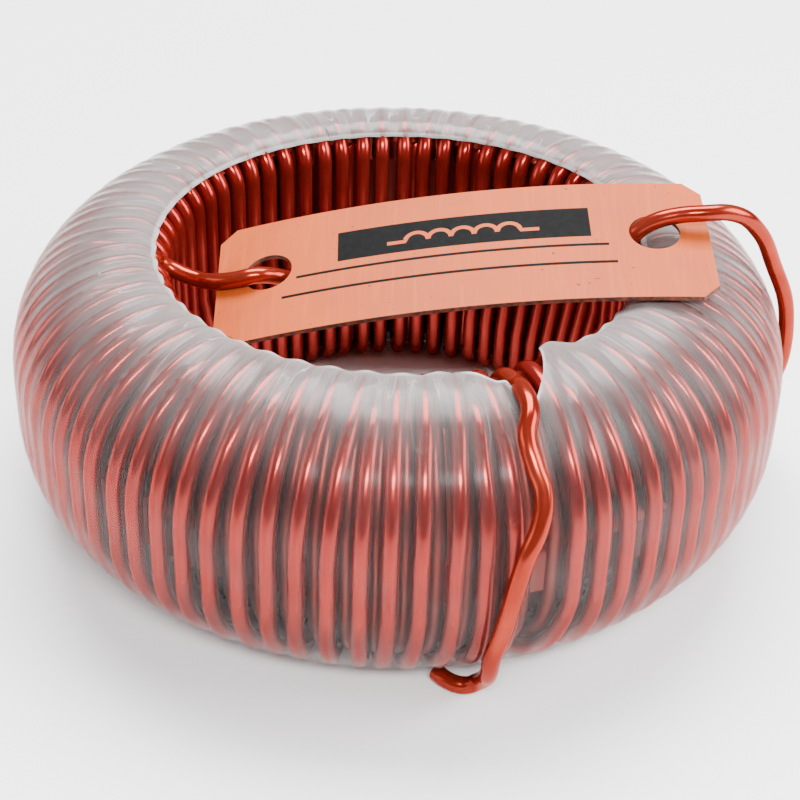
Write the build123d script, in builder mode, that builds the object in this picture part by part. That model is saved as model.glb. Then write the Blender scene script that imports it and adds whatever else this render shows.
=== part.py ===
# Toroidal inductor: enamelled wire wound in two layers on a ring core, shrunk film
# round the ring and a two-hole tag that hangs on one of the leads.
# The axis of the ring is Z and the ring stands on z = 0. All sizes are in millimetres.
import math
import os

from build123d import *

# Ring and wrap
outer_diameter = 80.0
coil_height = 30.0
core_width_share = 0.09275
corner_share = 0.4167
corner_angle = 45.0
flat_reach_share = 0.12
film_thickness = 0.3
film_overlap = 1.65
film_lip_drop = 1.3
fit_gap = 0.1

# Wire and winding, angles in degrees
wire_diameter = 1.68
turn_sides = 6
turn_group = 4
bore_pitch_share = 1.371
skipped_group_share = 0.2727
first_angle = 188.1
deep_step = 1.6
inner_corner = 3.3
deep_top_share = 0.35
lean_shares = (0.0, 0.25, 0.8, 1.0)
deep_lean_shares = (0.0, 0.25, 0.6, 1.0)
wound_end_share = 0.85

# Tear in the film where the start lead comes out
tear_depth = 5.3
tear_angles = (-7.7, -2.0, 2.2, 3.5)

# Tag that hangs on the finish lead: its length is a share of the ring's hole, the rest of its length
tag_thickness = 0.5
tag_length_share = 1.0531
tag_width_share = 0.3455
tag_clip_share = 0.0467
tag_bow_share = 2.846
tag_hole_share = 0.1016
tag_hole_inset_share = 0.1077
tag_hole_rise_share = 0.05
tag_offset_share = 0.1159
tag_setback_share = 0.1087
tag_lift_share = 0.0152
tag_pitch_angle = 8.55
tag_roll_angle = 12.0

# Route of the start lead: angles round the ring from its place in the bore, slopes on the ring's corner
lead_gap = 0.3
start_lead_angles = (-0.74, -1.64, -3.34, -2.74, -3.24, -5.54, -7.94, -9.34)
start_lead_slope_angles = (76.4, 64.2, 53.0, 33.5, 21.0, 9.0, -2.9, -24.5)
start_lead_floor_angles = (-10.04, -14.24)
start_lead_floor_shares = (0.97, 0.64)
start_lead_foot_share = 0.16

# Stretch of the finish lead on the tag: shares of the tag's length, its width and the wire
finish_lead_drop_share = 0.45
finish_lead_tag_shares = (
    (-0.505, -0.02, 1.05),
    (-0.43, 0.03, 0.8),
    (-0.345, 0.055, -0.85),
    (0.345, 0.05, -0.85),
    (0.375, 0.05, -0.46),
    (0.42, 0.05, 1.0),
    (0.45, 0.05, 1.5),
    (0.49, 0.05, 1.5),
)
# Stretch beside the ring: angles, slopes and standoffs in wire diameters
finish_lead_angles = (-5.2, -2.6, 0.45, 2.3, 4.0, 9.8)
finish_lead_slope_angles = (71.9, 60.9, 41.0, 13.7, -1.0, -14.2)
finish_lead_standoff_shares = (3.14, 2.5, 1.08, 0.72, 0.78, 1.03)
finish_lead_end_share = 0.11

# Sizes that follow from the ones above
outer_radius = outer_diameter / 2
wire_radius = wire_diameter / 2
wire_depth = film_thickness + fit_gap + wire_radius
layer_depth = wire_radius + fit_gap
core_depth = layer_depth + wire_diameter + fit_gap
core_width = outer_diameter * core_width_share
ring_width = core_width + core_depth * 2 + wire_depth + fit_gap + wire_radius + deep_step
hole_radius = outer_radius - ring_width
film_rim_radius = hole_radius + film_overlap
tear_radius = film_rim_radius + tear_depth
corner_radius = coil_height * corner_share
flat_reach = corner_radius * flat_reach_share
corner_centre_radius = outer_radius - corner_radius
corner_centre_level = coil_height - corner_radius
wire_corner_radius = corner_radius - wire_depth - fit_gap
wire_top_level = corner_centre_level + wire_corner_radius
bore_level = hole_radius + wire_radius
top_radius = bore_level + inner_corner
lead_standoff = wire_radius + lead_gap

# Turns that fit round the bore, in groups with the last turn behind the others
front_group = turn_group - 1
bore_pitch = wire_diameter * bore_pitch_share
turn_groups = round(math.pi * bore_level * 2 / bore_pitch / front_group)
front_places = turn_groups * front_group
turn_places = turn_groups * turn_group
ring_sides = turn_places // 2
# The second turn of one group is left out for the start lead
skipped_turn = round(turn_groups * skipped_group_share) * turn_group + 1

# Sizes of the tag
tag_length = hole_radius * 2 * tag_length_share
tag_width = tag_length * tag_width_share
tag_clip = tag_length * tag_clip_share
tag_bow_radius = tag_length * tag_bow_share
tag_hole_radius = tag_length * tag_hole_share / 2
tag_hole_place = tag_length / 2 - tag_length * tag_hole_inset_share


def mix(start, end, share):
    """Value at a share of the way from start to end."""
    return start + (end - start) * share


def ring_point(radius, level, angle):
    """Point at a radius from the axis, a height and an angle round the ring."""
    turned = math.radians(angle)
    return Vector(radius * math.cos(turned), radius * math.sin(turned), level)


def mirrored(corner):
    """Section corner moved to the other side of the ring's middle plane."""
    return corner[0], coil_height - corner[1]


def corner_point(radius, slope):
    """Section corner at a radius from the rounded corner's centre, the lower corner below zero."""
    swing = math.radians(abs(slope))
    corner = (
        corner_centre_radius + radius * math.cos(swing),
        corner_centre_level + radius * math.sin(swing),
    )
    return corner if slope >= 0 else mirrored(corner)


def beside_ring(angle, slope, standoff):
    """Point at a standoff from the wrapped ring."""
    return ring_point(*corner_point(corner_radius + standoff, slope), angle)


def on_floor(angle, standoff):
    """Point of a wire that lies on the floor beside the ring's lower corner."""
    reach = corner_radius + standoff
    rise = corner_radius - wire_radius
    return ring_point(corner_centre_radius + math.sqrt(reach**2 - rise**2), wire_radius, angle)


# Section corners of a turn, from the outer wall over the top to the bore
wall_corner = corner_point(wire_corner_radius, 0)
shoulder_corner = corner_point(wire_corner_radius, corner_angle)
top_corner = (top_radius, wire_top_level)
bore_corner = (bore_level, wire_top_level - inner_corner)
deep_top_corner = (
    mix(top_corner[0], shoulder_corner[0], deep_top_share),
    mix(top_corner[1], shoulder_corner[1], deep_top_share),
)
deep_bore_corner = (bore_level + deep_step, wire_top_level - inner_corner)
front_corners = (wall_corner, shoulder_corner, top_corner, bore_corner)
deep_corners = (wall_corner, shoulder_corner, deep_top_corner, deep_bore_corner)


def is_deep(turn):
    """Every last turn of a group lies behind the others in the bore."""
    return turn % turn_group == front_group


def outer_angle(turn):
    """Angle of a turn on the outer wall."""
    return first_angle + turn * 360 / turn_places


def bore_angle(turn):
    """Angle of a turn in the bore, where the deep ones lie between two front ones."""
    group, member = divmod(turn, turn_group)
    place = front_group * group + (member - 0.5 if is_deep(turn) else member)
    return first_angle + place * 360 / front_places


def turn_corners(turn):
    """Section corners and lean of one turn."""
    if is_deep(turn):
        return tuple(zip(deep_corners, deep_lean_shares))
    return tuple(zip(front_corners, lean_shares))


def climb(turn):
    """Corners of the wire up the outer wall and over the top into the bore."""
    wall, bore = outer_angle(turn), bore_angle(turn)
    return [ring_point(*corner, mix(wall, bore, lean)) for corner, lean in turn_corners(turn)]


def fall(turn, following):
    """Corners of the wire down the bore and under the ring to the following turn."""
    wall, bore = outer_angle(following), bore_angle(turn)
    return [
        ring_point(*mirrored(corner), mix(wall, bore, lean))
        for corner, lean in reversed(turn_corners(turn))
    ]


# The rings are laid in as many straight runs as two turns take, from the middle of a run
ring_runs = [
    ring_point(top_radius, coil_height / 2, side * 360 / ring_sides)
    for side in range(ring_sides)
]
ring_start = (ring_runs[0] + ring_runs[-1]) / 2
ring_path = [ring_start, *ring_runs, ring_start]
ring_outward = ring_start - Vector(0, 0, ring_start.Z)
ring_plane = Plane(origin=(0, 0, 0), x_dir=ring_outward, z_dir=ring_outward.cross(Vector(0, 0, 1)))
run_share = math.cos(math.pi / ring_sides)


def ring_section(corners):
    """Section corners as they lie in the middle of a straight run."""
    return [(radius * run_share, level) for radius, level in corners]


# The core and the first layer share an outline that lies under the deepest turns
under_turns = (wall_corner, deep_top_corner, deep_bore_corner)
layer_outline = [*under_turns, *(mirrored(corner) for corner in reversed(under_turns))]

# Ring core
with BuildPart() as ring_core:
    with BuildLine():
        Polyline(*ring_path)
    with BuildSketch(ring_plane):
        with BuildLine():
            Polyline(*ring_section(layer_outline), close=True)
        make_face()
        offset(amount=-core_depth, kind=Kind.INTERSECTION, mode=Mode.REPLACE)
    sweep(transition=Transition.RIGHT)

# First layer of turns on the core, one solid
with BuildPart() as inner_layer:
    with BuildLine():
        Polyline(*ring_path)
    with BuildSketch(ring_plane):
        with BuildLine():
            Polyline(*ring_section(layer_outline), close=True)
        make_face()
        offset(amount=-layer_depth, kind=Kind.INTERSECTION, mode=Mode.REPLACE)
        offset(amount=-wire_diameter, kind=Kind.INTERSECTION, mode=Mode.SUBTRACT)
    sweep(transition=Transition.RIGHT)

# Second layer: one length of wire laid turn by turn, with a place left for the start lead
turns = [turn for turn in range(1, turn_places) if turn != skipped_turn]
following_turns = [*turns[1:], turn_places]
wound_points = [ring_point(*mirrored(wall_corner), outer_angle(turns[0]))]
for turn, following in zip(turns, following_turns):
    wound_points += climb(turn) + fall(turn, following)
last_wall, last_shoulder, last_top, last_bore = climb(turn_places)
wound_end = last_shoulder + (last_top - last_shoulder) * wound_end_share
wound_points += [last_wall, last_shoulder, wound_end]

with BuildPart() as outer_layer:
    with BuildLine():
        Polyline(*wound_points)
    first_run = wound_points[1] - wound_points[0]
    with BuildSketch(Plane(origin=wound_points[0], z_dir=first_run)):
        RegularPolygon(wire_radius, turn_sides)
    sweep(transition=Transition.RIGHT, clean=False)

# Start lead: up the bore in the place that was left, out through the tear and down to the floor
start_angle = bore_angle(skipped_turn)
start_lead_points = [
    ring_point(bore_level, coil_height * start_lead_foot_share, start_angle),
    ring_point(*bore_corner, start_angle),
    ring_point(*top_corner, start_angle),
]
start_lead_points += [
    beside_ring(start_angle + angle, slope, lead_standoff)
    for angle, slope in zip(start_lead_angles, start_lead_slope_angles)
]
start_lead_points += [
    on_floor(start_angle + angle, wire_diameter * share)
    for angle, share in zip(start_lead_floor_angles, start_lead_floor_shares)
]

with BuildPart() as start_lead:
    with BuildLine():
        Polyline(*start_lead_points)
    start_run = start_lead_points[1] - start_lead_points[0]
    with BuildSketch(Plane(origin=start_lead_points[0], z_dir=start_run)):
        Circle(wire_radius)
    sweep(transition=Transition.RIGHT)

# Tag: a clipped and bowed strip with a hole at each end
tag_plane = Plane(
    origin=(
        tag_length * tag_offset_share,
        -tag_length * tag_setback_share,
        coil_height + tag_length * tag_lift_share,
    ),
    x_dir=Vector(1, 0, 0).rotate(Axis.Y, -tag_pitch_angle),
    z_dir=Vector(0, 0, 1).rotate(Axis.X, tag_roll_angle).rotate(Axis.Y, -tag_pitch_angle),
)
tag_side = Plane(origin=tag_plane.origin, x_dir=tag_plane.x_dir, z_dir=-tag_plane.y_dir)


def bow(along):
    """Drop of the bowed tag at a place along it."""
    return tag_bow_radius - math.sqrt(tag_bow_radius**2 - along**2)


def on_tag(along, across, standoff):
    """Point over the tag's middle surface, or under it below zero."""
    return tag_plane.from_local_coords(Vector(along, across, standoff - bow(along)))


with BuildPart() as tag:
    with BuildSketch(tag_side):
        with Locations((0, -tag_bow_radius)):
            Circle(tag_bow_radius + tag_thickness / 2)
            Circle(tag_bow_radius - tag_thickness / 2, mode=Mode.SUBTRACT)
        Rectangle(tag_length, tag_length, mode=Mode.INTERSECT)
    extrude(amount=tag_width / 2, both=True)
    with BuildSketch(tag_plane) as tag_outline:
        Rectangle(tag_length, tag_width)
        chamfer(tag_outline.vertices(), length=tag_clip)
        with Locations((0, tag_width * tag_hole_rise_share)):
            with GridLocations(tag_hole_place * 2, 0, 2, 1):
                Circle(tag_hole_radius, mode=Mode.SUBTRACT)
    extrude(amount=tag_length / 2, both=True, mode=Mode.INTERSECT)

# Finish lead: off the last turn, down into the bore, through both holes and over the ring's side
finish_run = (last_top - last_shoulder).normalized()
finish_lead_points = [
    wound_end + finish_run * fit_gap,
    last_top,
    last_top + (last_bore - last_top) * finish_lead_drop_share,
]
finish_lead_points += [
    on_tag(tag_length * along, tag_width * across, wire_diameter * rise)
    for along, across, rise in finish_lead_tag_shares
]
finish_lead_points += [
    beside_ring(angle, slope, wire_diameter * standoff)
    for angle, slope, standoff in zip(
        finish_lead_angles, finish_lead_slope_angles, finish_lead_standoff_shares
    )
]
finish_last = finish_lead_points[-1]
finish_lead_points.append(Vector(finish_last.X, finish_last.Y, coil_height * finish_lead_end_share))

with BuildPart() as finish_lead:
    with BuildLine():
        Polyline(*finish_lead_points)
    with BuildSketch(Plane(origin=finish_lead_points[0], z_dir=finish_run)):
        Circle(wire_radius)
    sweep(transition=Transition.RIGHT)

# Shrunk film: a thin skin, open round the bore and torn where the start lead comes out
film_flat = (top_radius + flat_reach, coil_height)
film_wall = (outer_radius, corner_centre_level + flat_reach)
film_shoulder = corner_point(corner_radius, corner_angle)
film_lip = (film_rim_radius + film_lip_drop, coil_height)
film_edge = (film_rim_radius - film_lip_drop, coil_height - film_lip_drop - film_lip_drop)
film_upper = (film_edge, film_lip, film_flat, film_shoulder, film_wall)
film_outline = [*film_upper, *(mirrored(corner) for corner in reversed(film_upper))]
tear_radii = (film_rim_radius - film_lip_drop, tear_radius, tear_radius, film_rim_radius - film_lip_drop)

with BuildPart() as shrink_film:
    with BuildLine():
        Polyline(*ring_path)
    with BuildSketch(ring_plane):
        with BuildLine():
            Polyline(*ring_section(film_outline), close=True)
        make_face()
        offset(amount=-film_thickness, kind=Kind.INTERSECTION, mode=Mode.SUBTRACT)
        with Locations((0, coil_height / 2)):
            Rectangle(film_rim_radius * 2, coil_height, mode=Mode.SUBTRACT)
    sweep(transition=Transition.RIGHT)
    with BuildSketch(Plane.XY.offset(coil_height / 2)):
        with BuildLine():
            Polyline(
                *[
                    ring_point(radius, 0, start_angle + angle)
                    for radius, angle in zip(tear_radii, tear_angles)
                ],
                close=True,
            )
        make_face()
    extrude(amount=coil_height, mode=Mode.SUBTRACT)

# Export of every piece
os.makedirs("parts", exist_ok=True)
ring_core.part.label = "ring_core"
inner_layer.part.label = "inner_layer"
outer_layer.part.label = "outer_layer"
start_lead.part.label = "start_lead"
finish_lead.part.label = "finish_lead"
shrink_film.part.label = "shrink_film"
tag.part.label = "tag"
export_step(ring_core.part, "parts/ring_core.step")
export_step(inner_layer.part, "parts/inner_layer.step")
export_step(outer_layer.part, "parts/outer_layer.step")
export_step(start_lead.part, "parts/start_lead.step")
export_step(finish_lead.part, "parts/finish_lead.step")
export_step(shrink_film.part, "parts/shrink_film.step")
export_step(tag.part, "parts/tag.step")
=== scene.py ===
# %% [markdown]
# # A toroidal inductor
# The object is a ring core wound with red enamelled copper wire, wrapped in a milky shrunk film.
# One lead carries a copper-coloured tag, the other comes out through a tear in the film.
# The imported CAD part is loaded first, and every new piece is laid where its solid sits.
# Sizes are written in millimetres, and mm turns them into Blender's metres.

# %% Load the imported part
import math

import bpy
import numpy as np
from mathutils import Matrix, Vector


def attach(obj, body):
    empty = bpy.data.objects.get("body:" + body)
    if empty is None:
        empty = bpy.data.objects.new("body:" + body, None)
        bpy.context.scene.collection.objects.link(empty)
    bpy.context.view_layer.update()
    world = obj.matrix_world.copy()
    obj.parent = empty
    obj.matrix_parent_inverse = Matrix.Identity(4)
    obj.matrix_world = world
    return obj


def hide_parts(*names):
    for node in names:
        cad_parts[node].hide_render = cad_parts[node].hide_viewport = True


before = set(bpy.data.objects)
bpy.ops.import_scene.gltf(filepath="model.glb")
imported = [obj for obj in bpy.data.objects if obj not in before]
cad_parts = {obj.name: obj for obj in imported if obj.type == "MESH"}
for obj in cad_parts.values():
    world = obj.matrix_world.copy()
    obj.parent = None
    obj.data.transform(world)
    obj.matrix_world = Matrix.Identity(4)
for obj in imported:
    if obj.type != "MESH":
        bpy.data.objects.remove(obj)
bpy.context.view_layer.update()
mm = 0.001
print("nodes of the part:", sorted(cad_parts))


# %% [markdown]
# Operators act on whatever is selected, and loading leaves the CAD nodes selected.
# These helpers select one piece, apply one modifier, join pieces and hand a finished piece to the frame.

# %% Helpers for selecting and finishing a piece
def pick(piece):
    bpy.ops.object.select_all(action="DESELECT")
    piece.select_set(True)
    bpy.context.view_layer.objects.active = piece


def apply_modifier(piece, kind, **settings):
    pick(piece)
    modifier = piece.modifiers.new(kind.lower(), kind)
    for name, value in settings.items():
        setattr(modifier, name, value)
    bpy.ops.object.modifier_apply(modifier=modifier.name)


def join_pieces(pieces):
    pick(pieces[0])
    for piece in pieces:
        piece.select_set(True)
    bpy.ops.object.join()
    return bpy.context.object


def finish_piece(piece, name, slot, *materials):
    piece.name = name
    piece.data.materials.clear()
    for material in materials:
        piece.data.materials.append(material)
    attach(piece, "root")
    print(name, len(piece.data.polygons), "faces")


# %% [markdown]
# The tag, its print and the film all start as a flat grid. Its points are then read and written
# as one list, which is much quicker than moving them one at a time.

# %% Helpers for grids and their points
def new_grid(columns, rows):
    bpy.ops.object.select_all(action="DESELECT")
    bpy.ops.mesh.primitive_grid_add(x_subdivisions=columns, y_subdivisions=rows, size=1)
    return bpy.context.object


def read_points(piece):
    flat = np.empty(len(piece.data.vertices) * 3)
    piece.data.vertices.foreach_get("co", flat)
    return flat.reshape(-1, 3)


def write_points(piece, points):
    piece.data.vertices.foreach_set("co", np.ascontiguousarray(points, dtype=np.float32).ravel())
    piece.data.update()


def store_values(piece, name, values):
    layer = piece.data.attributes.new(name, "FLOAT", "POINT")
    layer.data.foreach_set("value", np.ascontiguousarray(values, dtype=np.float32))


# %% [markdown]
# The photo looks down on the ring from close by, so the camera stands near it and the far side
# looks smaller. Its place, tilt and lens were fitted to the ring's outline.
# A small shift keeps the ring where it is in the frame.

# %% Camera
eye = Vector((0.0, -151.6, 112.03)) * mm
tilt = math.radians(90 - 32.62)
roll = math.radians(1.55)
bpy.ops.object.camera_add(location=eye)
camera = bpy.context.object
camera.matrix_world = Matrix.Translation(eye) @ Matrix.Rotation(tilt, 4, "X") @ Matrix.Rotation(roll, 4, "Z")
camera.data.sensor_width = 36
camera.data.lens = 76.31
camera.data.shift_x = 0.0026
camera.data.shift_y = -0.0579
camera.data.clip_start = 0.005
bpy.context.scene.camera = camera
print("camera", round(eye.length / mm), "mm from the ring's centre, lens", round(camera.data.lens, 2))

# %% [markdown]
# A white floor and four soft boxes, as for a catalogue picture. The large one high at the back gives
# the film its pale top, and the small one at the front gives each turn a highlight on the shoulder.
# The front one stands at about 47 degrees, which leaves the floor in the hole in the tag's shadow.

# %% Floor
bpy.ops.mesh.primitive_plane_add(size=4)
floor = bpy.context.object
floor.name = "floor"
floor_paint = bpy.data.materials.new("floor_paint")
floor_paint.use_nodes = True
floor_shader = floor_paint.node_tree.nodes["Principled BSDF"]
floor_shader.inputs["Base Color"].default_value = (0.95, 0.95, 0.95, 1)
floor_shader.inputs["Roughness"].default_value = 0.6
floor.data.materials.append(floor_paint)
print("floor", floor.dimensions[0], "m wide")

# %% Lights
soft_boxes = (
    ("front_box", (40, -330, 340), (210, 64), 2.8),
    ("back_box", (0, 240, 560), (500, 320), 13.0),
    ("left_box", (-420, -60, 180), (300, 200), 0.8),
    ("right_box", (430, -40, 260), (300, 300), 4.2),
)
light_target = Vector((0, 0, 20))
for name, place, (width, depth), power in soft_boxes:
    bpy.ops.object.light_add(type="AREA", location=Vector(place) * mm)
    box = bpy.context.object
    box.name = name
    box.data.shape = "RECTANGLE"
    box.data.size = width * mm
    box.data.size_y = depth * mm
    box.data.energy = power
    box.rotation_euler = (light_target - Vector(place)).to_track_quat("-Z", "Y").to_euler()
world = bpy.data.worlds.new("studio")
bpy.context.scene.world = world
world.use_nodes = True
sky = world.node_tree.nodes["Background"]
sky.inputs["Color"].default_value = (1, 1, 1, 1)
sky.inputs["Strength"].default_value = 0.27
print("lights", [name for name, *_ in soft_boxes])


# %% [markdown]
# Each finish is a small node tree on the Principled shader. Most need the same few nodes:
# a noise on the piece's own coordinates, a range that sharpens it and a mix of two colours.
# So each of these gets a short function.

# %% Node helpers
def new_finish(name):
    finish = bpy.data.materials.new(name)
    finish.use_nodes = True
    return finish, finish.node_tree, finish.node_tree.nodes["Principled BSDF"]


def add_node(tree, kind, **settings):
    node = tree.nodes.new(kind)
    for name, value in settings.items():
        setattr(node, name, value)
    return node


def object_place(tree):
    return add_node(tree, "ShaderNodeTexCoord").outputs["Object"]


def noise(tree, coordinates, scale, detail=3.0):
    node = add_node(tree, "ShaderNodeTexNoise")
    node.inputs["Scale"].default_value = scale
    node.inputs["Detail"].default_value = detail
    node.inputs["Roughness"].default_value = 0.55
    tree.links.new(coordinates, node.inputs["Vector"])
    return node.outputs["Fac"]


def stretch(tree, value, low, high, to_low, to_high):
    node = add_node(tree, "ShaderNodeMapRange")
    node.inputs["From Min"].default_value = low
    node.inputs["From Max"].default_value = high
    node.inputs["To Min"].default_value = to_low
    node.inputs["To Max"].default_value = to_high
    tree.links.new(value, node.inputs["Value"])
    return node.outputs["Result"]


def maths(tree, operation, first, second):
    node = add_node(tree, "ShaderNodeMath", operation=operation)
    for socket, value in zip(node.inputs, (first, second)):
        if isinstance(value, (int, float)):
            socket.default_value = value
        else:
            tree.links.new(value, socket)
    return node.outputs[0]


# %% Colour and bump helpers
def blend_colours(tree, share, first, second):
    node = add_node(tree, "ShaderNodeMix", data_type="RGBA")
    for socket, colour in ((node.inputs[6], first), (node.inputs[7], second)):
        if isinstance(colour, tuple):
            socket.default_value = (*colour, 1)
        else:
            tree.links.new(colour, socket)
    tree.links.new(share, node.inputs[0])
    return node.outputs[2]


def bump(tree, shader, height, strength, distance):
    node = add_node(tree, "ShaderNodeBump")
    node.inputs["Strength"].default_value = strength
    node.inputs["Distance"].default_value = distance
    tree.links.new(height, node.inputs["Height"])
    tree.links.new(node.outputs["Normal"], shader.inputs["Normal"])


def mottle(tree, shader, scale, first, second, spread=0.2, detail=3.0):
    """A soft pattern of two colours. Its share is handed back, so that the roughness can follow it."""
    share = stretch(tree, noise(tree, object_place(tree), scale, detail), 0.5 - spread, 0.5 + spread, 0, 1)
    tree.links.new(blend_colours(tree, share, first, second), shader.inputs["Base Color"])
    return share


# %% [markdown]
# The enamel is a red lacquer over bright copper. A glass layer over a metal would be the full way
# to make it. A mostly metallic shader with a warm tint and a thin coat looks the same and is faster.
# The bare leads look paler than the turns. The first layer lies in the shade of the second, and its enamel
# is a darker, rougher copy of the same red: painted shade.

# %% Enamelled wire
def make_enamel(name, deep, light, smoothest, roughest):
    finish, tree, shader = new_finish(name)
    shade = mottle(tree, shader, 180, deep, light, detail=2)
    tree.links.new(stretch(tree, shade, 0, 1, smoothest, roughest), shader.inputs["Roughness"])
    shader.inputs["Metallic"].default_value = 0.7
    shader.inputs["Specular Tint"].default_value = (1.0, 0.4, 0.25, 1)
    shader.inputs["Coat Weight"].default_value = 0.05
    shader.inputs["Coat Roughness"].default_value = 0.06
    return finish


enamel = make_enamel("red_enamel", (0.21, 0.011, 0.009), (0.29, 0.021, 0.017), 0.16, 0.25)
lead_enamel = make_enamel("lead_enamel", (0.235, 0.016, 0.008), (0.325, 0.034, 0.018), 0.16, 0.25)
# Painted shade: the first layer's enamel is the same red made darker and rougher, for the shade it lies in.
painted_shade_enamel = make_enamel("painted_shade_red_enamel", (0.09, 0.007, 0.006), (0.14, 0.014, 0.011), 0.3, 0.42)
print("enamels", enamel.name, lead_enamel.name, painted_shade_enamel.name)

# %% [markdown]
# Where the wire was cut, the copper is bare. The core has a dark matt coating and lies under the wire.
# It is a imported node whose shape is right, so it stays and just gets this finish.

# %% Bare copper and the core's coating
bare_copper, tree, shader = new_finish("bare_copper")
mottle(tree, shader, 2500, (0.75, 0.3, 0.16), (0.9, 0.45, 0.28))
shader.inputs["Metallic"].default_value = 1
shader.inputs["Roughness"].default_value = 0.4

core_coat, tree, shader = new_finish("dark_core_coat")
mottle(tree, shader, 600, (0.02, 0.018, 0.018), (0.05, 0.042, 0.04), spread=0.15)
shader.inputs["Roughness"].default_value = 0.6
bump(tree, shader, noise(tree, object_place(tree), 1500), 0.2, 0.0001)


def refinish_node(name, finish):
    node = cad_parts[name]
    node.data.materials.clear()
    node.data.materials.append(finish)
    print(name, "keeps its shape, in", finish.name)


refinish_node("ring_core", core_coat)

# %% [markdown]
# A turn climbs the outer wall, leans over the top, drops down the bore and comes back underneath.
# On the outer wall there is room for all turns side by side. In the bore there is not,
# so every fourth turn lies behind the others. The same few numbers drive the wire and the film over it.
# A hand-wound coil is never quite even, so each place is off by a small amount from a seeded list.

# %% The ring's numbers
ring_height = 30.0
corner_radius = 12.5
corner_centre = 27.5
corner_level = ring_height - corner_radius
wire_radius = 0.84
wire_corner = 11.42
wall_run = wire_corner * np.pi / 2
wall_drop = 2.5
bore_radius = 24.2
bore_corner = corner_centre - bore_radius
tight_corner = 1.7
turn_places = 88
bore_places = 66
turn_group = 4
first_angle = 188.1
skipped_turn = 25
deep_step = 1.6
lean_in = 1.8
wobble = np.random.default_rng(11)
outer_wobble = wobble.normal(0, 0.22, turn_places + 2)
bore_wobble = wobble.normal(0, 0.2, turn_places + 2)
print("places", turn_places, "on the wall and", bore_places, "in the bore")


# %% [markdown]
# A point on a turn is given by its run, the length along the section from the middle of the top:
# positive towards the wall, negative towards the bore. The lower half is the upper half turned over,
# with a tighter inner edge.

# %% The ring's section
def smooth(low, high, value):
    share = np.clip((value - low) / (high - low), 0, 1)
    return share * share * (3 - 2 * share)


def bore_end(inner):
    """Run at which the rounded inner edge ends and the bore begins."""
    return -(bore_corner - inner + inner * np.pi / 2)


def section(run, inner=bore_corner):
    """Radius, height and slope at a run."""
    run = np.asarray(run, dtype=float)
    over_wall = np.clip(run / wire_corner, 0, np.pi / 2)
    to_edge = np.clip(-run, 0, bore_corner - inner)
    over_edge = np.clip((-run - to_edge) / inner, 0, np.pi / 2)
    down = np.maximum(run - wall_run, 0) + np.maximum(bore_end(inner) - run, 0)
    radius = corner_centre + wire_corner * np.sin(over_wall) - to_edge - inner * np.sin(over_edge)
    height = corner_level + wire_corner * np.cos(over_wall) - inner * (1 - np.cos(over_edge)) - down
    return radius, height, np.pi / 2 - over_wall + over_edge


def ring_points(radius, height, angle):
    turned = np.radians(angle)
    return np.stack((radius * np.cos(turned), radius * np.sin(turned), height + 0 * turned), axis=-1)


print("section: wall run", round(wall_run, 2), "mm, bore from", round(bore_end(bore_corner), 2), "mm")


# %% Where a turn lies round the ring
def outer_angle(turn):
    return first_angle + turn * 360 / turn_places + outer_wobble[turn]


def is_deep(turn):
    return turn % turn_group == turn_group - 1


def bore_angle(turn):
    group, member = divmod(turn, turn_group)
    spot = (turn_group - 1) * group + (turn_group - 1.5 if is_deep(turn) else member)
    return first_angle + spot * 360 / bore_places + bore_wobble[turn]


def lean(run, inner=bore_corner):
    """Share of the way from the turn's place on the wall to its place in the bore."""
    return np.interp(run, (bore_end(inner), 0, wall_run / 2, wall_run), (1, 0.8, 0.25, 0))


print("first turn at", round(outer_angle(1), 1), "on the wall and", round(bore_angle(1), 1), "in the bore")


# %% A turn's route
wall_steps = 15
edge_steps = 8


def turn_runs(inner):
    """Runs of half a turn, from the wall over the top to half way down the bore."""
    edge_runs = np.linspace(0, bore_end(inner), edge_steps + 1)[1:]
    half_way = bore_end(inner) - corner_level - wire_corner + inner + ring_height / 2
    bore_runs = [bore_end(inner) - 4, half_way]
    wall_runs = np.linspace(wall_run, 0, wall_steps)
    return np.concatenate(([wall_run + wall_drop], wall_runs, edge_runs, bore_runs))


def half_turn(turn, neighbour, inner):
    runs = turn_runs(inner)
    radius, height, swing = section(runs, inner)
    depth = deep_step * smooth(5.0, -4.0, runs) if is_deep(turn) else 0 * runs
    share = lean(runs, inner)
    angle = outer_angle(neighbour) * (1 - share) + bore_angle(turn) * share
    return radius - depth * np.cos(swing), height - depth * np.sin(swing), angle


def climb(turn):
    return ring_points(*half_turn(turn, turn, bore_corner))


def fall(turn, following):
    radius, height, angle = half_turn(turn, following, tight_corner)
    runs = turn_runs(tight_corner)
    bulge = lean_in * smooth(3.0, -2.0, runs) * smooth(runs[-1], bore_end(tight_corner) - 2, runs)
    return ring_points(radius - bulge, ring_height - height, angle)[::-1]


print("points in half a turn:", len(turn_runs(bore_corner)))


# %% [markdown]
# A wire is drawn in Blender as a curve with a round bevel. The winding has many points that already lie on
# a smooth line, so a plain poly line does. A lead has few bends, so it gets smooth handles between them.
# The curve then becomes a mesh, because the export wants one.

# %% Wire from a line of points
def lay_wire(points, rounded=False, sides=4):
    bpy.ops.object.select_all(action="DESELECT")
    bpy.ops.curve.primitive_bezier_curve_add(location=(0, 0, 0))
    wire = bpy.context.object
    line = wire.data
    line.splines.clear()
    line.dimensions = "3D"
    line.bevel_depth = wire_radius * mm
    line.bevel_resolution = sides
    line.use_fill_caps = True
    line.resolution_u = 8
    spline = line.splines.new("BEZIER" if rounded else "POLY")
    knots = spline.bezier_points if rounded else spline.points
    knots.add(len(points) - 1)
    for knot, point in zip(knots, np.asarray(points) * mm):
        if rounded:
            knot.co = point
            knot.handle_left_type = "AUTO"
            knot.handle_right_type = "AUTO"
        else:
            knot.co = (*point, 1)
    pick(wire)
    bpy.ops.object.convert(target="MESH")
    bpy.ops.object.shade_smooth_by_angle(angle=math.radians(50))
    return bpy.context.object


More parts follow.
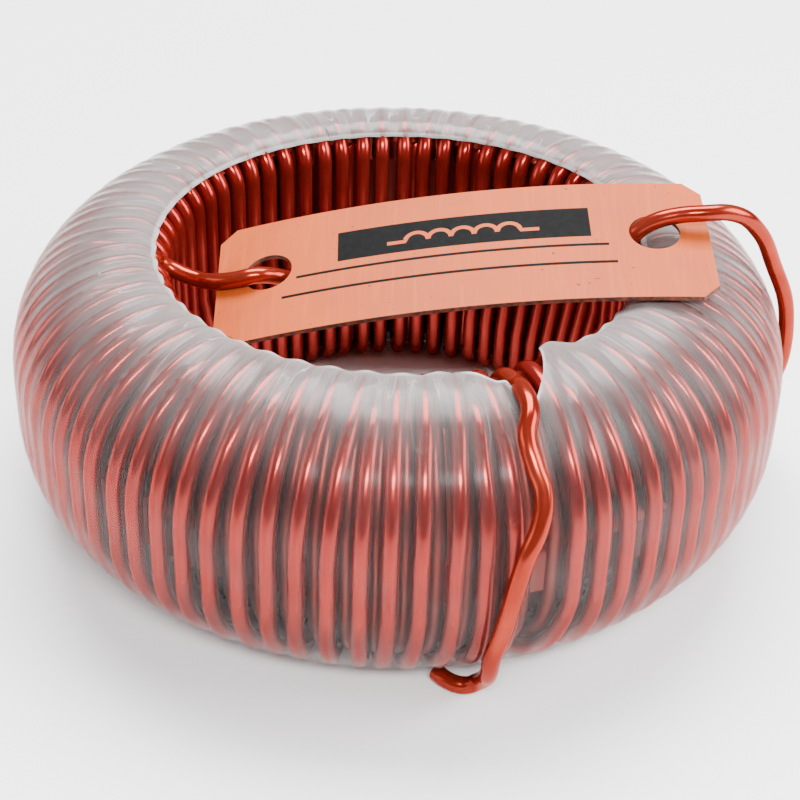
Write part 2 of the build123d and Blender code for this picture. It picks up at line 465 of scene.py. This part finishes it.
# %% [markdown]
# The outer layer is one length of wire, as on the real ring: each turn ends on the wall where the next
# begins. One place is left out for the start lead, which comes up the bore there.

# %% The winding
turns = [turn for turn in range(1, turn_places) if turn != skipped_turn]
wound = [climb(turns[0])[:1] - (0, 0, 5)]
for turn, following in zip(turns, turns[1:] + [turn_places]):
    wound += [climb(turn)[1:], fall(turn, following)[1:]]
last_climb = climb(turn_places)
wound.append(last_climb[1:wall_steps + 1])
winding = lay_wire(np.concatenate(wound))
finish_piece(winding, "winding", "wire", enamel)
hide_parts("outer_layer")

# %% [markdown]
# The first layer shows only as dim strips in the gaps between the turns. The imported ring that stands
# for it stays, in the darker copy of the enamel that paints the shade it lies in. A loop of wire is laid on
# it in each gap, and the loops are joined.
# On the top a loop rises between the turns, so that no light comes through the gaps from below.

# %% Inner turns
inner_depth = 1.62
inner_rise = 0.87
inner_bore_radii = (27.0, 27.7, 27.7)
inner_bore_levels = (26.3, 24.0, 15.0)


def inner_loop(turn):
    runs = np.append(turn_runs(bore_corner)[:wall_steps + 1], (-1.1, -2.2))
    radius, height, swing = section(runs)
    depth = inner_depth - inner_rise * smooth(9.0, 4.0, runs)
    radius = np.append(radius - depth * np.cos(swing), inner_bore_radii)
    height = np.append(height - depth * np.sin(swing), inner_bore_levels)
    angle = (outer_angle(turn) + outer_angle(turn + 1)) / 2 + 0 * radius
    top = ring_points(radius, height, angle)
    under = ring_points(radius, ring_height - height, angle)[::-1]
    return np.concatenate((top, under[1:]))


refinish_node("inner_layer", painted_shade_enamel)
inner_turns = join_pieces([lay_wire(inner_loop(turn), sides=2) for turn in range(turn_places)])
finish_piece(inner_turns, "inner_turns", "wire", painted_shade_enamel)

# %% [markdown]
# The tag is a thin strip with clipped corners, a hole at each end and a bow from lying across the ring.
# It is easiest to shape it flat round the origin, and then to bow it and lay it in its place.

# %% The tag's place
tag_length = 49.2
tag_width = 17.0
tag_thickness = 0.5
tag_clip = 1.7
tag_bow = 140.0
tag_hole = 2.5
tag_hole_place = 19.3
tag_hole_rise = 0.85
tag_centre = Vector((5.7, -5.35, 30.75))
tag_turn = Matrix.Rotation(math.radians(-8.55), 4, "Y") @ Matrix.Rotation(math.radians(12), 4, "X")


def on_tag(along, across, rise):
    """Points on the bowed tag, in millimetres."""
    along = np.asarray(along, dtype=float)
    flat = np.stack((along, across + 0 * along, rise - along**2 / (2 * tag_bow)), axis=-1)
    return flat @ np.array(tag_turn.to_3x3()).T + np.array(tag_centre)


def lay_on_tag(piece):
    flat = read_points(piece) / mm
    write_points(piece, on_tag(flat[:, 0], flat[:, 1], flat[:, 2]) * mm)


print("tag's right end at", on_tag(tag_length / 2, 0, 0).round(1))

# %% [markdown]
# The tag's face is copper-coloured and satin, with fine brushed lines across it, slow blotches and
# a few specks. The lines are a noise that a Mapping node draws out in one direction.
# The cut edge shows brown fibre.

# %% Tag finish
tag_face, tree, shader = new_finish("copper_face")
place = object_place(tree)
brushed = add_node(tree, "ShaderNodeMapping")
brushed.inputs["Scale"].default_value = (1.0, 0.06, 0.06)
tree.links.new(place, brushed.inputs["Vector"])
lines = noise(tree, brushed.outputs[0], 2200, 2)
blotch = stretch(tree, noise(tree, place, 70, 4), 0.35, 0.65, 0, 1)
ground = blend_colours(tree, blotch, (0.36, 0.056, 0.008), (0.45, 0.08, 0.014))
ground = blend_colours(tree, stretch(tree, lines, 0.5, 0.75, 0, 0.5), ground, (0.5, 0.1, 0.024))
speck = stretch(tree, noise(tree, place, 1500, 2), 0.71, 0.75, 0, 1)
tree.links.new(blend_colours(tree, speck, ground, (0.14, 0.025, 0.008)), shader.inputs["Base Color"])
tree.links.new(stretch(tree, blotch, 0, 1, 0.38, 0.5), shader.inputs["Roughness"])
shader.inputs["Specular IOR Level"].default_value = 0.12
bump(tree, shader, lines, 0.06, 0.0001)

tag_rim, tree, shader = new_finish("brown_fibre_edge")
mottle(tree, shader, 1800, (0.02, 0.005, 0.003), (0.2, 0.05, 0.025))
shader.inputs["Roughness"].default_value = 0.8
bump(tree, shader, noise(tree, object_place(tree), 2500), 0.4, 0.0001)
print("tag finishes", tag_face.name, tag_rim.name)

# %% [markdown]
# A fine grid is needed so that the strip can bow. Solidify gives it its thickness, a round punch cuts
# each hole with a Boolean, and a bisect takes off each corner.

# %% Tag shape
tag = new_grid(49, 17)
tag.scale = (tag_length * mm, tag_width * mm, 1)
bpy.ops.object.transform_apply(scale=True)
apply_modifier(tag, "SOLIDIFY", thickness=tag_thickness * mm, offset=0)
for side in (-1, 1):
    hole_spot = (side * tag_hole_place * mm, tag_hole_rise * mm, 0)
    bpy.ops.object.select_all(action="DESELECT")
    bpy.ops.mesh.primitive_cylinder_add(vertices=48, radius=tag_hole * mm, depth=4 * mm, location=hole_spot)
    punch = bpy.context.object
    apply_modifier(tag, "BOOLEAN", object=punch, operation="DIFFERENCE", solver="EXACT")
    bpy.data.objects.remove(punch)
pick(tag)
bpy.ops.object.mode_set(mode="EDIT")
for across in (-1, 1):
    for along in (-1, 1):
        bpy.ops.mesh.select_all(action="SELECT")
        corner = (along * (tag_length - tag_clip) / 2 * mm, across * (tag_width - tag_clip) / 2 * mm, 0)
        bpy.ops.mesh.bisect(plane_co=corner, plane_no=(along, across, 0), use_fill=True, clear_outer=True)
bpy.ops.object.mode_set(mode="OBJECT")
lay_on_tag(tag)
bpy.ops.object.shade_smooth_by_angle(angle=math.radians(30))
finish_piece(tag, "copper_tag", "tag", tag_face, tag_rim)
tag_up = np.array(tag_turn.to_3x3()) @ np.array((0, 0, 1))
for face in tag.data.polygons:
    face.material_index = 0 if abs(np.dot(face.normal, tag_up)) > 0.7 else 1
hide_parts("tag")

# %% [markdown]
# The print on the tag is plain: a black bar with a coil sign in the tag's own colour, and two thin rules.
# Ink could be a pattern in the finish, but thin pieces just over the face keep sharp edges in any view.

# %% Ink and bars
ink, tree, shader = new_finish("black_ink")
mottle(tree, shader, 1500, (0.003, 0.003, 0.003), (0.006, 0.006, 0.006))
shader.inputs["Roughness"].default_value = 0.6
shader.inputs["Specular IOR Level"].default_value = 0.05
ink_depth = 0.012
ink_lift = tag_thickness / 2 + ink_depth
print("ink", round(ink_lift, 3), "mm above the middle of the tag")


def ink_bar(along, across, length, width):
    bar = new_grid(max(2, int(length)), 2)
    bar.scale = (length * mm, width * mm, 1)
    bar.location = (along * mm, across * mm, ink_lift * mm)
    bpy.ops.object.transform_apply(location=True, scale=True)
    lay_on_tag(bar)
    return bar


# %% Coil sign
def coil_sign(along, across, loops, radius, width):
    """A row of half rings with a straight foot at each end, the plain drawing sign for a coil."""
    foot = (loops + 1.6) * radius
    turned = np.linspace(np.pi, 0, 13)
    line = [(along - foot, across)]
    for loop in range(loops):
        middle = along + (2 * loop + 1 - loops) * radius
        line += [(middle + radius * np.cos(t), across + radius * np.sin(t)) for t in turned]
    line.append((along + foot, across))
    line = np.array(line)
    run = np.gradient(line, axis=0)
    side = np.stack((-run[:, 1], run[:, 0]), axis=1) / np.linalg.norm(run, axis=1)[:, None] * width / 2
    flat = np.concatenate((line - side, line + side))
    sign = new_grid(len(line) - 1, 1)
    write_points(sign, on_tag(flat[:, 0], flat[:, 1], ink_lift + ink_depth) * mm)
    return sign


sign = coil_sign(0.5, 1.9, 5, 1.15, 0.5)
finish_piece(sign, "coil_sign", "tag", tag_face)
ink_places = ((0.5, 2.6, 25.2, 4.3), (-0.8, -0.8, 31.0, 0.35), (-1.2, -3.4, 33.0, 0.35))
tag_print = join_pieces([ink_bar(*ink_place) for ink_place in ink_places])
finish_piece(tag_print, "tag_print", "tag", ink)

# %% [markdown]
# The leads are the two ends of the same stiff wire. They keep the bends they were given,
# so each is a line through its bends with smooth handles. A bend beside the ring is given by
# its angle round the ring, its slope on the ring's shoulder and how far it stands off the film.

# %% Helpers for the leads
def beside_ring(angle, slope, standoff):
    swing = np.radians(abs(slope))
    radius = corner_centre + (corner_radius + standoff) * np.cos(swing)
    height = corner_level + (corner_radius + standoff) * np.sin(swing)
    return ring_points(radius, height if slope >= 0 else ring_height - height, np.asarray(float(angle)))


def bare_ends(lead):
    """The cut ends are the only faces with more than four corners."""
    for face in lead.data.polygons:
        face.material_index = 1 if len(face.vertices) > 4 else 0


# %% Start lead
start_angle = float(first_angle + 19 * 360 / bore_places)
start_places = ((24.2, 5.0), (24.2, 15.0), (24.2, 24.6), (24.9, 27.3), (26.5, 28.6), (28.4, 29.1))
start_bends = (
    (-69.1, 75.0, 0.4), (-69.9, 64.2, 1.1), (-71.6, 54.0, 1.1), (-71.5, 43.0, 1.05), (-71.0, 32.4, 1.05),
    (-71.8, 22.1, 1.05), (-73.8, 9.0, 1.02), (-76.2, -2.9, 1.02), (-77.0, -16.0, 1.05), (-76.8, -30.0, 1.1),
    (-76.4, -43.0, 1.1),
)
start_foot = (
    (8.2, -35.3, 1.7), (7.3, -35.0, 0.95), (6.2, -34.75, 0.86), (5.2, -34.1, 0.86), (4.4, -33.2, 0.86),
)
start_route = [ring_points(radius, height, np.asarray(start_angle)) for radius, height in start_places]
start_route += [beside_ring(*bend) for bend in start_bends]
start_route += [np.array(point) for point in start_foot]
start_lead = lay_wire(start_route, rounded=True, sides=6)
finish_piece(start_lead, "start_wire", "wire", lead_enamel, bare_copper)
bare_ends(start_lead)
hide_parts("start_lead")

# %% [markdown]
# The finish lead leaves the last turn, goes down through the tag's left hole, along under the tag
# and up through the right hole. Its places on the tag are shares of the tag's length and width,
# and of the wire's width.

# %% Finish lead
finish_bore = ((-24.25, -2.5, 26.7), (-20.4, -3.6, 25.6), (-18.5, -4.8, 26.1))
tag_bends = (
    (-0.457, -0.012, 0.68), (-0.415, -0.01, 0.62), (-0.385, 0.02, 0.1), (-0.345, 0.055, -0.8),
    (0.0, 0.05, -1.1), (0.32, 0.07, -0.85), (0.345, 0.08, -0.5), (0.37, 0.095, 0.1),
    (0.4, 0.1, 0.62), (0.436, 0.1, 0.98), (0.485, 0.09, 1.28),
)
finish_bends = (
    (-5.2, 71.9, 5.2), (-2.6, 60.9, 4.1), (0.45, 41.0, 1.75),
    (2.3, 13.7, 1.1), (4.0, -1.0, 1.15), (9.8, -14.2, 1.6),
)
finish_end_level = 3.4
finish_route = [last_climb[wall_steps + step] for step in (0, 2, 4)]
finish_route += [np.array(point) for point in finish_bore]
for along, across, rise in tag_bends:
    finish_route.append(on_tag(along * tag_length, across * tag_width, rise * wire_radius * 2))
finish_route += [beside_ring(*bend) for bend in finish_bends]
finish_route.append(finish_route[-1] * (1, 1, 0) + (0, 0, finish_end_level))
finish_lead = lay_wire(finish_route, rounded=True, sides=6)
finish_piece(finish_lead, "finish_wire", "wire", lead_enamel, bare_copper)
bare_ends(finish_lead)
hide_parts("finish_lead")

# %% [markdown]
# The film is a thin skin shrunk over the turns. A cloth simulation could shrink it, but the skin follows
# the turns so closely that a grid laid over the same section is simpler and always comes out the same.
# Its upper rim is uneven and torn where the start lead comes out, so it is a list of angles and radii.

# %% The film's rim
film_lift = wire_radius + 0.06
rim_places = (
    (-250, 24.6), (-180, 24.7), (-150, 24.9), (-120, 25.5), (-93, 25.85), (-89.5, 26.15), (-83.6, 25.9),
    (-77.9, 25.7), (-74.4, 27.3), (-70.3, 29.1), (-69.8, 31.2), (-67.6, 31.7), (-63.1, 28.6), (-60.4, 26.3),
    (-58.8, 25.0), (-56.8, 24.6), (-53.6, 24.8), (-48.8, 25.4), (-45, 25.5), (-36.7, 25.0), (-29.4, 24.4),
    (0, 24.6), (32.5, 24.9), (93, 24.6), (110, 24.6),
)
rim_angles, rim_radii = zip(*rim_places)


def rim_run(angle):
    """Run along the section at which the upper edge lies."""
    radius = sum(np.interp(angle + shift, rim_angles, rim_radii) for shift in (-0.3, 0, 0.3)) / 3
    over_bore = -bore_corner * np.arcsin(np.clip((corner_centre - radius) / (bore_corner + film_lift), 0, 1))
    over_wall = wire_corner * np.arcsin(np.clip((radius - corner_centre) / (wire_corner + film_lift), 0, 1))
    return over_bore + over_wall


print("the tear reaches a radius of", max(rim_radii), "mm")


# %% The film's ribs
def beside_crest(angle, crests, radius):
    """Distance round the ring from each angle to the nearest crest."""
    near = np.abs((angle[:, None] - crests[None, :] + 180) % 360 - 180).min(axis=1)
    return np.radians(near) * radius


def rib(run, angle, radius, below):
    """1 over a turn, 0 between two."""
    share = lean(run, tight_corner if below else bore_corner)
    ahead = 1 if below else 0
    crests = np.array([
        outer_angle(turn + ahead) * (1 - share) + bore_angle(turn) * share
        for turn in range(turn_places) if run > 3 or not is_deep(turn)
    ])
    return np.exp(-((beside_crest(angle, crests, radius) / 0.8) ** 2))


# %% [markdown]
# One side of the grid runs round the hole, with its columns crowded near the tear. The other runs from
# the upper rim over the wall to the lower rim. Between the turns the film dips, beside the tear its lip
# curls up, and along the rim it waves a little.

# %% The film's grid
columns = 740
fine = np.linspace(-250, 110, 7201)
crowding = np.cumsum(1 + 4 * np.exp(-(((fine + 62) / 14) ** 2)))
film_angles = np.interp(np.linspace(crowding[0], crowding[-1], columns + 1), crowding, fine)
film_angles[-1] = film_angles[0] + 360
rim = rim_run(film_angles)
rim[-1] = rim[0]
join_run = 10.0
lower_rim = -1.4
film_runs = [rim + (join_run - rim) * share for share in np.linspace(0, 1, 24, endpoint=False)]
film_runs += [run + 0 * rim for run in np.linspace(join_run, wall_run + wall_drop, 13)]
upper_rows = len(film_runs)
film_runs += [run + 0 * rim for run in np.linspace(wall_run + wall_drop - 1, lower_rim, 24)]
print("film", len(film_runs), "rows", columns, "columns")

# %% Film shape
rib_depth = 0.17


def hump(value, middle, width):
    return np.exp(-(((value - middle) / width) ** 2))


film_points = []
film_run_list = []
film_edge_list = []
for row, runs in enumerate(film_runs):
    below = row >= upper_rows
    radius, height, swing = section(runs, tight_corner if below else bore_corner)
    ribs = rib(float(np.median(runs)), film_angles, float(np.median(radius)), below)
    ribs[-1] = ribs[0]
    edge = runs - (lower_rim if below else rim)
    lift = film_lift - rib_depth * (1 - ribs) * smooth(0.3, 3.5, edge)
    if not below:
        curl = 0.9 * hump(film_angles, -56.5, 4.2) + 0.35 * hump(film_angles, -70.8, 0.8)
        lift = lift + curl * hump(edge, 0, 1.5)
        lift = lift + 0.12 * hump(edge, 0, 0.5) * np.sin(film_angles * 0.9)
    radius = radius + lift * np.cos(swing)
    height = height + lift * np.sin(swing)
    film_points.append(ring_points(radius, ring_height - height if below else height, film_angles))
    film_run_list.append(2 * (wall_run + wall_drop) - runs if below else runs)
    film_edge_list.append(edge)
film = new_grid(columns, len(film_runs) - 1)
write_points(film, np.concatenate(film_points) * mm)
print("film", len(film.data.vertices), "points")

# %% [markdown]
# The finish needs to know how thick the film is at each point, and where along the skin the point lies.
# Both are stored on the points, as attributes, before the grid's ends are merged and Solidify
# gives it two faces.

# %% Film thickness and closing
runs_all = np.concatenate(film_run_list)
edge_all = np.concatenate(film_edge_list)
turned_all = np.tile(film_angles, len(film_runs))
cloud = np.sin(np.radians(turned_all * 7) + runs_all * 0.5)
cloud = cloud + np.sin(np.radians(turned_all * 17) - runs_all * 0.9 + 2)
film_depth = 0.035 + 0.1 * smooth(12.0, 4.0, runs_all) + 0.2 * smooth(6.0, -1.0, runs_all)
film_depth = film_depth * (1 + 0.12 * cloud) + 0.5 * smooth(0.4, 0.0, edge_all)
middle_radius = 33
store_values(film, "film_depth", film_depth)
store_values(film, "edge", smooth(0.45, 0.1, edge_all))
store_values(film, "run", runs_all)
store_values(film, "around", np.radians(turned_all) * middle_radius)
pick(film)
bpy.ops.object.mode_set(mode="EDIT")
bpy.ops.mesh.select_all(action="SELECT")
bpy.ops.mesh.remove_doubles(threshold=0.000002)
bpy.ops.mesh.normals_make_consistent(inside=False)
bpy.ops.object.mode_set(mode="OBJECT")
bpy.ops.object.shade_smooth()
apply_modifier(film, "SOLIDIFY", thickness=0.1 * mm, offset=-1)
print("film depth from", film_depth.min().round(3), "to", film_depth.max().round(3))

# %% [markdown]
# The film is milky and glossy. It is clearest over the wall and whiter on the top, where it has shrunk
# thicker. Light that meets it at a flat angle has further to go through it, so it is whiter there too:
# the clear share falls with the thickness divided by the slant, as in tinted glass.
# A few thin creases lie on the top. They are paler and thicker: partly the folded film, partly a painted
# glint along each crease.

# %% Streaks, and creases with a painted glint
milky_film, tree, shader = new_finish("milky_film")


def stored(name):
    return add_node(tree, "ShaderNodeAttribute", attribute_name=name).outputs["Fac"]


def skin_place(around_scale, run_scale):
    """Coordinates on the skin, drawn out along the turns."""
    node = add_node(tree, "ShaderNodeCombineXYZ")
    tree.links.new(maths(tree, "MULTIPLY", stored("around"), around_scale), node.inputs[0])
    tree.links.new(maths(tree, "MULTIPLY", stored("run"), run_scale), node.inputs[1])
    return node.outputs[0]


streak = noise(tree, skin_place(1.6, 0.12), 1.0, 2)
fold_place = skin_place(0.5, 0.07)
folds = noise(tree, fold_place, 1.0, 0)
fold_share = stretch(tree, noise(tree, fold_place, 0.37, 1), 0.5, 0.6, 0, 1)
off_fold = maths(tree, "ABSOLUTE", maths(tree, "SUBTRACT", folds, 0.5), 0.0)
# Thin lines along the folds near the top: real creases, drawn with a painted glint.
crease_glint_line = maths(tree, "MULTIPLY", stretch(tree, off_fold, 0.0, 0.009, 1, 0), fold_share)
crease_glint_line = maths(tree, "MULTIPLY", crease_glint_line, stretch(tree, stored("run"), 2.0, 8.0, 1, 0))
print("film pattern of", len(tree.nodes), "nodes")

# %% Film finish
thick = maths(tree, "MULTIPLY", stored("film_depth"), stretch(tree, streak, 0.35, 0.65, 0.8, 1.2))
thick = maths(tree, "ADD", thick, maths(tree, "MULTIPLY", crease_glint_line, 0.5))
facing = add_node(tree, "ShaderNodeLayerWeight")
facing.inputs["Blend"].default_value = 0.5
slant = maths(tree, "MAXIMUM", maths(tree, "SUBTRACT", 1.0, facing.outputs["Facing"]), 0.12)
depth = maths(tree, "DIVIDE", thick, slant)
clear = maths(tree, "POWER", 2.718, maths(tree, "MULTIPLY", depth, -1.0))
tree.links.new(maths(tree, "SUBTRACT", 1.0, clear), shader.inputs["Alpha"])
# The colour pales at the rim and along the creases. On the creases the paler colour is a painted glint.
pale = maths(tree, "MAXIMUM", stored("edge"), maths(tree, "MULTIPLY", crease_glint_line, 0.5))
film_colour = blend_colours(tree, pale, (0.27, 0.24, 0.235), (0.7, 0.68, 0.67))
tree.links.new(film_colour, shader.inputs["Base Color"])
shader.inputs["Roughness"].default_value = 0.22
bump(tree, shader, maths(tree, "ADD", streak, maths(tree, "MULTIPLY", crease_glint_line, 0.4)), 0.25, 0.0003)
finish_piece(film, "film_skin", "film", milky_film)
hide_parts("shrink_film")
